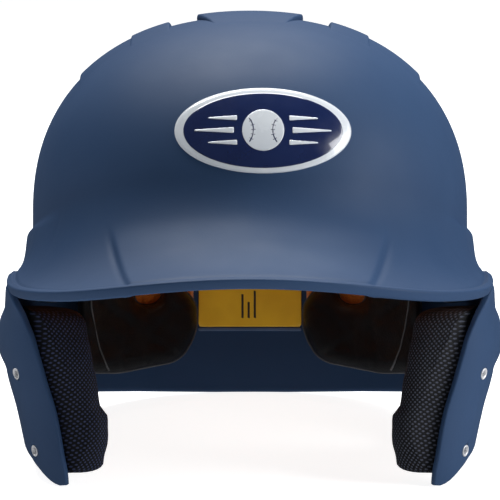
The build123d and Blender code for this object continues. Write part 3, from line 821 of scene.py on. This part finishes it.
def patch(name, loops, place, inner, outer, pitch=2.5):
    """Thin even plate between two depths, with square edges."""
    return cushion(name, loops, place, outer, inner, 0.25, power=2.0, pitch=pitch)


CORD_SIDES = 10


def tube(name, centres, radius, closed=True):
    """Round cord along a path, in worn-frame millimetres."""
    centres = np.array(centres, float)
    along = np.roll(centres, -1, axis=0) - np.roll(centres, 1, axis=0)
    if not closed:
        along[0], along[-1] = centres[1] - centres[0], centres[-1] - centres[-2]
    along = unit(along)
    side = unit(np.cross(along, [0.3, 0.2, 1.0]))
    up = np.cross(side, along)
    turn = np.linspace(0, 2 * math.pi, CORD_SIDES, endpoint=False)
    circle = np.cos(turn)[None, :, None] * side[:, None] + np.sin(turn)[None, :, None] * up[:, None]
    ring = centres[:, None] + radius * circle
    index = np.arange(len(ring) * CORD_SIDES).reshape(len(ring), CORD_SIDES)
    if closed:
        index = np.vstack([index, index[:1]])
    faces = [tuple(f) for f in grid_faces(index, wrap=True)]
    if not closed:
        faces += [tuple(index[0]), tuple(index[-1][::-1])]
    obj = new_object(name, rest(ring.reshape(-1, 3)), faces)
    outward(obj)
    return obj


def join(name, objs):
    """One object from several, keeping materials."""
    chosen = {"active_object": objs[0], "selected_editable_objects": objs, "selected_objects": objs}
    with bpy.context.temp_override(**chosen):
        bpy.ops.object.join()
    objs[0].name = name
    objs[0].data.name = name
    return objs[0]


def hand_over(obj, slot_name, *nodes):
    """Give a finished piece its place in the table: hide the parts it replaces and attach it to the root
    body. slot_name is not used.
    """
    if nodes:
        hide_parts(*nodes)
    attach(obj, "root")
    return obj


# ---- Materials ---------------------------------------------------------------------------------
def new_material(name):
    material = bpy.data.materials.new(name)
    material.use_nodes = True
    tree = material.node_tree
    tree.nodes.clear()
    out = tree.nodes.new("ShaderNodeOutputMaterial")
    shader = tree.nodes.new("ShaderNodeBsdfPrincipled")
    tree.links.new(shader.outputs[0], out.inputs[0])
    return material, tree, shader


def noise_node(tree, vector, scale, detail=3.0, kind="noise"):
    if kind == "cells":
        node = tree.nodes.new("ShaderNodeTexVoronoi")
    else:
        node = tree.nodes.new("ShaderNodeTexNoise")
        node.inputs["Detail"].default_value = detail
    node.inputs["Scale"].default_value = scale
    tree.links.new(vector, node.inputs["Vector"])
    return node.outputs["Distance"] if kind == "cells" else node.outputs["Fac"]


def blend_colours(tree, factor, a, b):
    mix = tree.nodes.new("ShaderNodeMix")
    mix.data_type = "RGBA"
    tree.links.new(factor, mix.inputs["Factor"])
    mix.inputs["A"].default_value = (*a, 1)
    mix.inputs["B"].default_value = (*b, 1)
    return mix.outputs["Result"]


def ranged(tree, value, low, high, to_low, to_high):
    node = tree.nodes.new("ShaderNodeMapRange")
    tree.links.new(value, node.inputs["Value"])
    for key, v in zip(("From Min", "From Max", "To Min", "To Max"), (low, high, to_low, to_high)):
        node.inputs[key].default_value = v
    return node.outputs["Result"]


def bumped(tree, shader, layers):
    """Stack of bumps: (height, strength, distance in metres)."""
    before = None
    for height, strength, distance in layers:
        node = tree.nodes.new("ShaderNodeBump")
        node.inputs["Strength"].default_value = strength
        node.inputs["Distance"].default_value = distance
        tree.links.new(height, node.inputs["Height"])
        if before is not None:
            tree.links.new(before, node.inputs["Normal"])
        before = node.outputs["Normal"]
    tree.links.new(before, shader.inputs["Normal"])


def surface(name, colour, other, rough, bumps, mottle=60.0, metallic=0.0, coat=0.0, specular=0.5,
            sheen=0.0):
    """Procedural finish: colour that drifts between two tones, uneven gloss and layered relief.

    rough is (smoothest, roughest); bumps are (kind, cells per metre, strength, depth in metres).
    """
    material, tree, shader = new_material(name)
    place = tree.nodes.new("ShaderNodeTexCoord").outputs["Object"]
    drift = noise_node(tree, place, mottle, 4.0)
    tree.links.new(blend_colours(tree, ranged(tree, drift, 0.35, 0.65, 0, 1), colour, other),
                   shader.inputs["Base Color"])
    wear = noise_node(tree, place, mottle * 2.7, 5.0)
    tree.links.new(ranged(tree, wear, 0.3, 0.7, rough[0], rough[1]), shader.inputs["Roughness"])
    bumped(tree, shader, [(noise_node(tree, place, scale, 3.0, kind), strength, depth)
                          for kind, scale, strength, depth in bumps])
    shader.inputs["Metallic"].default_value = metallic
    shader.inputs["Coat Weight"].default_value = coat
    shader.inputs["Specular IOR Level"].default_value = specular
    shader.inputs["Sheen Weight"].default_value = sheen
    return material


MESH_PITCH = 1.55                            # millimetres between the openings of the ear pads' mesh


def mesh_fabric(name, thread, dot):
    """Spacer mesh: staggered rows of round openings that show the lighter layer below."""
    material, tree, shader = new_material(name)
    flat = tree.nodes.new("ShaderNodeUVMap")
    flat.uv_map = "pattern"
    turn = tree.nodes.new("ShaderNodeMapping")
    turn.inputs["Rotation"].default_value = (0, 0, math.radians(45))
    turn.inputs["Scale"].default_value = (1 / MESH_PITCH, 1 / MESH_PITCH, 1)
    tree.links.new(flat.outputs["UV"], turn.inputs["Vector"])
    cells = tree.nodes.new("ShaderNodeTexVoronoi")
    cells.voronoi_dimensions = "2D"
    cells.inputs["Scale"].default_value = 1.0
    cells.inputs["Randomness"].default_value = 0.08
    tree.links.new(turn.outputs["Vector"], cells.inputs["Vector"])
    place = tree.nodes.new("ShaderNodeTexCoord").outputs["Object"]
    opening = ranged(tree, cells.outputs["Distance"], 0.20, 0.34, 1, 0)
    tree.links.new(blend_colours(tree, opening, thread, dot), shader.inputs["Base Color"])
    fibre = noise_node(tree, place, 2600.0, 2.0)
    wear = noise_node(tree, place, 90.0)
    tree.links.new(ranged(tree, wear, 0.3, 0.7, 0.6, 0.85), shader.inputs["Roughness"])
    bumped(tree, shader, [(cells.outputs["Distance"], 0.55, 0.0005), (fibre, 0.35, 0.0002)])
    shader.inputs["Specular IOR Level"].default_value = 0.25
    return material


NAVY = (0.0190, 0.0450, 0.1050)
NAVY_WORN = (0.0225, 0.0510, 0.1150)
navy_paint = surface("matte_navy_paint", NAVY, NAVY_WORN, (0.54, 0.62),
                     [("noise", 1500.0, 0.16, 0.0002), ("noise", 260.0, 0.05, 0.0006)],
                     mottle=14.0, specular=0.16)
badge_white = surface("badge_white", (0.62, 0.66, 0.70), (0.56, 0.60, 0.65), (0.18, 0.30),
                      [("noise", 900.0, 0.06, 0.0001)], coat=0.6)
badge_navy = surface("badge_navy", (0.004, 0.012, 0.062), (0.006, 0.016, 0.072), (0.14, 0.22),
                     [("noise", 180.0, 0.04, 0.0003)], coat=1.0)
label_film = surface("label_yellow", (0.80, 0.50, 0.03), (0.72, 0.43, 0.025), (0.34, 0.5),
                     [("noise", 120.0, 0.12, 0.0004)])
label_ink = surface("label_ink", (0.02, 0.02, 0.022), (0.035, 0.035, 0.04), (0.4, 0.55),
                    [("noise", 900.0, 0.1, 0.0001)])
# Painted reflection: a teal-blue band of reflected light under the yellow film, not part of the label.
label_painted_reflection = surface("label_painted_reflection", (0.07, 0.115, 0.21), (0.055, 0.095, 0.18), (0.4, 0.55),
                     [("noise", 900.0, 0.1, 0.0001)])
foam_finish = surface("orange_foam", (0.62, 0.20, 0.025), (0.50, 0.14, 0.015), (0.75, 0.95),
                      [("cells", 900.0, 0.6, 0.0006), ("noise", 150.0, 0.3, 0.0010)], sheen=0.2)
pad_foam = surface("black_foam", (0.014, 0.014, 0.016), (0.022, 0.022, 0.025), (0.8, 0.95),
                   [("cells", 1300.0, 0.6, 0.0004)])
pad_skin = surface("pad_leather", (0.0045, 0.0045, 0.0055), (0.008, 0.008, 0.009), (0.40, 0.58),
                   [("cells", 1100.0, 0.30, 0.0003), ("noise", 90.0, 0.25, 0.0012)], specular=0.3)
pad_cord = surface("pad_piping", (0.045, 0.046, 0.050), (0.065, 0.066, 0.072), (0.5, 0.65),
                   [("noise", 1400.0, 0.4, 0.0002)])
board = surface("backing_board", (0.018, 0.018, 0.020), (0.028, 0.028, 0.030), (0.6, 0.75),
                [("noise", 700.0, 0.2, 0.0002)])
pile = surface("hook_and_loop", (0.016, 0.016, 0.018), (0.03, 0.03, 0.033), (0.85, 0.98),
               [("cells", 1700.0, 0.9, 0.0006)], sheen=0.5)
nickel = surface("nickel_plate", (0.86, 0.87, 0.90), (0.74, 0.75, 0.78), (0.42, 0.55),
                 [("noise", 900.0, 0.15, 0.0001)], metallic=0.55)
MESH_THREAD = (0.0045, 0.005, 0.007)
# Painted light and shade: both ear pads share one mesh, but the left pad's dots are painted lighter and
# greyer where light falls and the right pad's dots darker blue where shade falls.
fabric = {1: mesh_fabric("ear_mesh_left_lit_dots", MESH_THREAD, (0.045, 0.052, 0.075)),
          -1: mesh_fabric("ear_mesh_right_shaded_dots", MESH_THREAD, (0.026, 0.036, 0.085))}


def wear_finish(obj, material):
    obj.data.materials.clear()
    obj.data.materials.append(material)
    return obj


# ---- Shell and guard inserts -------------------------------------------------------------------
NUT_TURN = math.radians(30.5)
NUT_DROPS = ((56.0, 14.0), (21.0, 9.0))      # height and degrees that the axis points down
NUT_RING = 2.75


def nut_axes():
    """Side, point on the outer surface and outward axis of each guard insert, worn frame."""
    for side in (1, -1):
        for height, droop in NUT_DROPS:
            half_width, front, power, _ = smooth_table(SKIRT, height)
            ratio = (math.tan(NUT_TURN) * front / half_width) ** (power / (power - 1))
            point = np.array([side * half_width * (1 / (1 + ratio)) ** (1 / power),
                              CENTRE_Y - front * (ratio / (1 + ratio)) ** (1 / power), height])
            drop = math.radians(droop)
            level = math.cos(drop)
            out = [side * math.cos(NUT_TURN) * level, -math.sin(NUT_TURN) * level, -math.sin(drop)]
            yield side, point, np.array(out)


def lathe(name, profile, point, out, sides=56):
    """Ring turned round an axis from a closed profile of (radius, distance along the axis)."""
    across = np.cross(out, [0, 0, 1.0])
    across /= np.linalg.norm(across)
    up = np.cross(across, out)
    turn = np.linspace(0, 2 * math.pi, sides, endpoint=False)
    rows = [point + out * along + radius * (np.cos(turn)[:, None] * across + np.sin(turn)[:, None] * up)
            for radius, along in profile]
    index = np.arange(len(profile) * sides).reshape(len(profile), sides)
    index = np.vstack([index, index[:1]])
    obj = new_object(name, rest(np.vstack(rows)), grid_faces(index, wrap=True))
    outward(obj)
    return obj


shell_verts, shell_quads = make_shell()
shell = new_object("helmet_shell", rest(shell_verts), flat_faces(shell_quads))


def bore_shell(shell):
    """Drill the four insert holes with round cutters."""
    cutters = []
    for side, point, out in nut_axes():
        profile = [(0.01, -12.0), (NUT_RING, -12.0), (NUT_RING, 6.0), (0.01, 6.0)]
        cutters.append(lathe("cutter", profile, point, out, 40))
    cutter = join("cutter", cutters)
    modifier = shell.modifiers.new("bores", "BOOLEAN")
    modifier.operation = "DIFFERENCE"
    modifier.solver = "EXACT"
    modifier.object = cutter
    evaluated = shell.evaluated_get(bpy.context.evaluated_depsgraph_get())
    drilled = bpy.data.meshes.new_from_object(evaluated)
    shell.modifiers.clear()
    shell.data = drilled
    bpy.data.objects.remove(cutter)


bore_shell(shell)
wear_finish(shell, navy_paint)
hand_over(shell, "shell", "shell", "brim", "left_flap_front", "right_flap_front")

# Section of an insert, (radius, distance out of the shell): flange, barrel, rounded lip, then the thread.
INSERT_PROFILE = [(1.75, -5.8), (5.2, -5.8), (5.2, -4.9), (2.7, -4.8), (2.7, -0.1), (2.66, 0.12),
                  (2.5, 0.25), (2.2, 0.25), (1.95, 0.12), (1.75, -0.2)]
INSERT_PROFILE += [((1.62, 1.75)[k % 2], -1.0 - 0.4 * k) for k in range(8)]
rings = {1: [], -1: []}
for side, point, out in nut_axes():
    rings[side].append(wear_finish(lathe("ring", INSERT_PROFILE, point, out), nickel))
for side, word in ((1, "left"), (-1, "right")):
    piece = join(f"{word}_inserts", rings[side])
    hand_over(piece, "insert_metal", f"{word}_guard_inserts")

# ---- Badge and label ---------------------------------------------------------------------------
# Centre (x, z) and half sizes of the oval, a plain ball with bars either side.
BADGE = np.array([5.7, 164.2])
BADGE_HALF = np.array([38.7, 19.0])
FIELD_HALF = np.array([35.0, 16.9])


def strip(line, widths):
    """Outline of a line drawn with a width that changes along it."""
    line = np.array(line, float)
    along = np.gradient(line, axis=0)
    side = unit(np.column_stack([-along[:, 1], along[:, 0]]))
    half = np.broadcast_to(np.asarray(widths, float), len(line))[:, None] / 2
    return even_loop(np.vstack([line + side * half, (line - side * half)[::-1]]), 0.45)


def arc(centre, radius, start, end):
    turn = np.radians(np.linspace(start, end, 24))
    return np.column_stack([centre[0] + radius * np.cos(turn), centre[1] + radius * np.sin(turn)])


def inlay(loops, face, material):
    """Flat shape on the badge, standing out to the depth face."""
    return wear_finish(cushion("inlay", loops, on_front, INLAY_BACK, face, 0.2, pitch=1.2), material)


BALL_RADIUS = 9.2
STITCH_ARC = (12.6, 8.4)                     # distance of its centre from the ball's, and its radius
INLAY_BACK, INLAY_FACE, STITCH_FACE = -0.4, -1.2, -1.27  # depths below the form, so these stand out of it
# Rise, start, end and width of each bar, which narrows to its tip.
BARS = ((5.4, 11.2, 24.0, 2.4), (0.0, 12.6, 30.0, 2.8), (-5.4, 11.2, 24.0, 2.4))
BAR_TIP = 0.7

badge_ring = cushion("ring", [ellipse_loop(BADGE, BADGE_HALF)], on_front, 0.3, -0.95, 0.9, power=2.0)
badge_field = cushion("field", [ellipse_loop(BADGE, FIELD_HALF)], on_front, -0.3, -1.05, 0.5, power=2.0)
badge_parts = [
    wear_finish(badge_ring, badge_white),
    wear_finish(badge_field, badge_navy),
    inlay([ellipse_loop(BADGE, (BALL_RADIUS, BALL_RADIUS), 0.8)], INLAY_FACE, badge_white),
]
for side in (1, -1):
    hub = BADGE + [side * STITCH_ARC[0], 0]
    seam = arc(hub, STITCH_ARC[1], 90 + side * 45 + 4 * side, 90 + side * 135 - 4 * side)
    badge_parts.append(inlay([strip(seam, 0.75)], STITCH_FACE, badge_navy))
    for k in range(3, 22, 4):
        direction = seam[k] - hub
        direction /= np.linalg.norm(direction)
        stitch = [seam[k] - direction * 1.3, seam[k], seam[k] + direction * 1.3]
        badge_parts.append(inlay([strip(stitch, 0.55)], STITCH_FACE, badge_navy))
    for rise, start, end, thick in BARS:
        x = BADGE[0] + side * np.linspace(start, end, 14)
        line = np.column_stack([x, np.full(14, BADGE[1] + rise)])
        badge_parts.append(inlay([strip(line, np.linspace(thick, BAR_TIP, 14))], INLAY_FACE, badge_white))
badge = join("badge", badge_parts)
hand_over(badge, "badge", "front_badge")

LABEL_HALF, LABEL_LOW, LABEL_HIGH = 26.7, 72.5, 101.0
LABEL_FACE, LABEL_BACK = WALL + 0.62, WALL + 0.1
LABEL_REFLECTION_BAND = (70.3, 72.3)                  # low and high edge of the painted teal reflection band under the film
LABEL_MARKS = ((-4.6, 76.0, -3.2, 90.0), (-1.4, 76.0, 0.0, 86.0), (1.8, 76.0, 3.2, 92.0),
               (-4.6, 93.5, 3.2, 94.7))      # plain bars: x and z of two opposite corners


def bar(x0, z0, x1, z1, radius=0.4, step=0.8):
    return rounded_loop([(x0, z0), (x1, z0), (x1, z1), (x0, z1)], radius, step)


film = patch("film", [bar(-LABEL_HALF, LABEL_LOW, LABEL_HALF, LABEL_HIGH, 1.5, 1.6)], on_rear,
             LABEL_FACE, LABEL_BACK)
label_parts = [wear_finish(film, label_film)]
for corners in LABEL_MARKS:
    mark = patch("mark", [bar(*corners)], on_rear, LABEL_FACE + 0.06, WALL + 0.3, pitch=1.2)
    label_parts.append(wear_finish(mark, label_ink))
# Painted reflection: a thin teal-blue plate just under the film stands in for light reflected there.
reflection_band = bar(-LABEL_HALF, LABEL_REFLECTION_BAND[0], LABEL_HALF, LABEL_REFLECTION_BAND[1])
edge = patch("edge", [reflection_band], on_rear, LABEL_FACE, LABEL_BACK, pitch=1.2)
label_parts.append(wear_finish(edge, label_painted_reflection))
label = join("label", label_parts)
hand_over(label, "label", "rear_label")

# ---- Pads ---------------------------------------------------------------------------------------
PAD_BACK, PAD_FACE, REAR_PAD_FACE = 13.8, 21.8, 25.6     # depths below the form
REAR_PAD_EDGE = 7.0                          # the nape pads swell to full thickness over this width
# Outline of the left nape pad with its notch, its seam and its pressed lines, seen from behind: x, z.
REAR_PAD = np.array([(27, 74), (27.5, 84), (31, 89), (38, 96), (43, 96), (46, 86.5), (51, 84), (58, 85),
                     (61, 98), (84, 99), (85, 84), (84, 66), (82, 51.5), (66, 50.5), (39.5, 55), (34, 58.5),
                     (29.5, 66)])
REAR_PAD_SEAM = np.array([(78.5, 97), (78.2, 84), (76.5, 73), (74.5, 64), (70.2, 52.5)])
REAR_PAD_LINES = ([(52, 52), (51, 68), (53, 85)], [(51, 68), (40, 80), (30, 84)], [(51, 68), (35, 58)],
                  [(64, 52), (60, 74), (67, 97)], [(60, 74), (76, 88)])


def soft_piece(obj, *nodes, finish=pad_skin, slot_name="pad_skin", fill=0.6):
    wear_finish(obj, finish)
    hand_over(obj, slot_name, *nodes)
    return obj


def comfort_pad(name, node, loop, place, lines, edge=5.5, groove=(1.8, 1.6)):
    """Removable pad in embossed skin with pressed lines."""
    pad = cushion(name, [loop], place, PAD_BACK, PAD_FACE, edge, grooves=lines, groove=groove, wrinkle=0.3)
    return soft_piece(pad, node)


def piping(name, loop, place, depth, radius):
    cord = tube(name, place(loop, np.full(len(loop), depth)), radius)
    wear_finish(cord, pad_cord)
    return hand_over(cord, "pad_skin")


for side, word in ((1, "left"), (-1, "right")):
    flip = np.array([side, 1.0])
    loop = rounded_loop(REAR_PAD * flip, 3.2)
    lines = [np.array(line, float) * flip for line in REAR_PAD_LINES]
    soft_piece(cushion(f"{word}_nape_cushion", [loop], on_rear, PAD_BACK, REAR_PAD_FACE, REAR_PAD_EDGE,
                       grooves=lines, groove=(1.2, 0.9), wrinkle=0.45), f"{word}_rear_pad")
    piping(f"{word}_nape_piping", loop, on_rear, PAD_BACK + 1.2, 0.6)
    at = np.linspace(0, 4, 40)
    seam = np.column_stack([np.interp(at, range(5), column) for column in REAR_PAD_SEAM.T]) * flip
    swell = swelling(line_distance(seam, loop, True), REAR_PAD_EDGE, SWELL_POWER)
    seam_line = on_rear(seam, PAD_BACK + (REAR_PAD_FACE - PAD_BACK) * swell)
    cord = tube(f"{word}_nape_seam", seam_line, 0.5, closed=False)
    hand_over(wear_finish(cord, pad_cord), "pad_skin")
    temple = bar(-59, 89, 44, 148, 11, 1.6)
    comfort_pad(f"{word}_temple_cushion", f"{word}_temple_pad", temple, on_side(side),
                [[(-59, 112), (44, 112)], [(-24, 112), (-24, 148)], [(12, 112), (12, 148)],
                 [(-8, 89), (-8, 112)]])
    piping(f"{word}_temple_piping", temple, on_side(side), PAD_BACK + 1.0, 0.8)

comfort_pad("brow_cushion", "brow_pad", bar(-56, 107, 56, 147, 9, 1.6), on_front,
            [[(-56, 127), (56, 127)], [(-20, 107), (-20, 147)], [(20, 107), (20, 147)]])
comfort_pad("crown_cushion", "crown_pad", bar(-38, -49, 38, 61, 30, 1.6), on_crown,
            [[(-38, -12), (38, -12)], [(-38, 26), (38, 26)], [(0, -49), (0, 61)]], 6.0, (1.8, 1.8))

EAR_PAD = np.array([(-62, 84), (-66, 66), (-66, 26), (-60, 9), (-40, 19), (10, 26), (36, 32), (42, 84),
                    (-50, 87)], float)
EAR_PAD_HOLE = (17.0, 20.0)


def ear_cushion(name, side, shrink, back, face):
    """Thick pad inside the flap, open over the ear, with a fabric pattern that wraps its front."""
    outline = rounded_loop(EAR_PAD, 7, 1.8)
    outline = inset_ring(outline, shrink, outward=False)
    hole = ellipse_loop(EAR, (EAR_PAD_HOLE[0] + shrink, EAR_PAD_HOLE[1] + shrink), 1.8)
    place = in_ear_cup(side)
    obj = cushion(name, [outline, hole], place, back, face, 6.5, power=3.0, wrinkle=0.012)
    points = worn(np.array([v.co for v in obj.data.vertices]))
    set_uv(obj, np.column_stack([points[:, 1] - np.abs(points[:, 0]), points[:, 2]]))
    return obj


for side, word in ((1, "left"), (-1, "right")):
    core = ear_cushion(f"{word}_ear_core", side, 1.6, 0.08, 0.92)
    soft_piece(core, f"{word}_ear_pad", finish=pad_foam, slot_name="pad_foam", fill=0.8)
    # fabric[side] is the mesh with that side's painted light or shade in its dots.
    cover = ear_cushion(f"{word}_ear_mesh", side, 0.0, 0.0, 1.0)
    soft_piece(cover, f"{word}_ear_pad_cover", finish=fabric[side], slot_name="mesh_fabric")

REAR_FOAM_HALF = np.array([(29, 103), (29.5, 76), (33, 67), (40, 60), (72, 60), (72, 164.5)])
rear_foam_loop = rounded_loop(np.vstack([REAR_FOAM_HALF, REAR_FOAM_HALF[::-1] * [-1, 1]]), 3.0, 2.5)
SLOT_HALF = (17.0, 4.5)                      # openings of the foam behind the rear slots
slots = [bar(side * REAR_VENT[0] - SLOT_HALF[0], REAR_VENT[1] - SLOT_HALF[1],
             side * REAR_VENT[0] + SLOT_HALF[0], REAR_VENT[1] + SLOT_HALF[1], 4.4, 1.6) for side in (1, -1)]
rear_foam = cushion("nape_foam", [rear_foam_loop, *slots], on_rear, 3.7, 13.3, 1.6, power=2.0, pitch=4.0)
hand_over(wear_finish(rear_foam, foam_finish), "impact_foam", "rear_impact_foam")

for word in ("front", "crown", "left", "right"):
    wear_finish(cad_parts[f"{word}_impact_foam"], foam_finish)
for word in ("left", "right"):
    wear_finish(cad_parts[f"{word}_ear_pad_backing"], board)
    wear_finish(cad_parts[f"{word}_ear_pad_patches"], pile)


# ---- Stage -------------------------------------------------------------------------------------
CAMERA_PLACE = (0.0, -1303.0, 112.3)         # worn frame, level and looking straight back
CAMERA_LENS = 197.9
CAMERA_SENSOR = 36
FLOOR_HALF = 8


def make_camera():
    cam = bpy.data.objects.new("camera", bpy.data.cameras.new("camera"))
    bpy.context.scene.collection.objects.link(cam)
    place = rest(CAMERA_PLACE)[0]
    turn = (rest_turn() @ Matrix.Rotation(math.radians(90), 3, "X")).to_4x4()
    cam.matrix_world = Matrix.Translation(Vector(place)) @ turn
    cam.data.lens = CAMERA_LENS
    cam.data.sensor_width = CAMERA_SENSOR
    cam.data.clip_start = 0.05
    cam.data.clip_end = 50
    bpy.context.scene.camera = cam


make_camera()
floor_corners = [(x * FLOOR_HALF, y * FLOOR_HALF, 0) for x, y in ((-1, -1), (1, -1), (1, 1), (-1, 1))]
floor = new_object("floor", floor_corners, [(0, 1, 2, 3)], smooth=False)
floor_finish = surface("pale_floor", (0.60, 0.60, 0.60), (0.58, 0.58, 0.585), (0.7, 0.8),
                       [("noise", 40.0, 0.05, 0.001)], mottle=3.0, specular=0.1)
floor_shader = next(n for n in floor_finish.node_tree.nodes if n.type == "BSDF_PRINCIPLED")
floor_shader.inputs["Emission Color"].default_value = (1, 1, 1, 1)
floor_shader.inputs["Emission Strength"].default_value = 0.9
wear_finish(floor, floor_finish)
floor.visible_glossy = False


def softbox(name, place, target, size, energy):
    data = bpy.data.lights.new(name, "AREA")
    data.shape = "RECTANGLE"
    data.size, data.size_y = size
    data.energy = energy
    obj = bpy.data.objects.new(name, data)
    bpy.context.scene.collection.objects.link(obj)
    obj.location = place
    obj.rotation_euler = (Vector(target) - Vector(place)).to_track_quat("-Z", "Y").to_euler()
    return obj


softbox("overhead", (-0.12, 0.48, 1.25), (0, 0.05, 0.1), (1.2, 0.7), 31)
softbox("side", (1.4, -0.35, 0.7), (0, 0, 0.12), (0.8, 1.0), 22)
world = bpy.data.worlds.new("world")
bpy.context.scene.world = world
world.use_nodes = True
world.node_tree.nodes["Background"].inputs[0].default_value = (1, 1, 1, 1)
world.node_tree.nodes["Background"].inputs[1].default_value = 0.07

bpy.context.scene.view_settings.view_transform = "Standard"
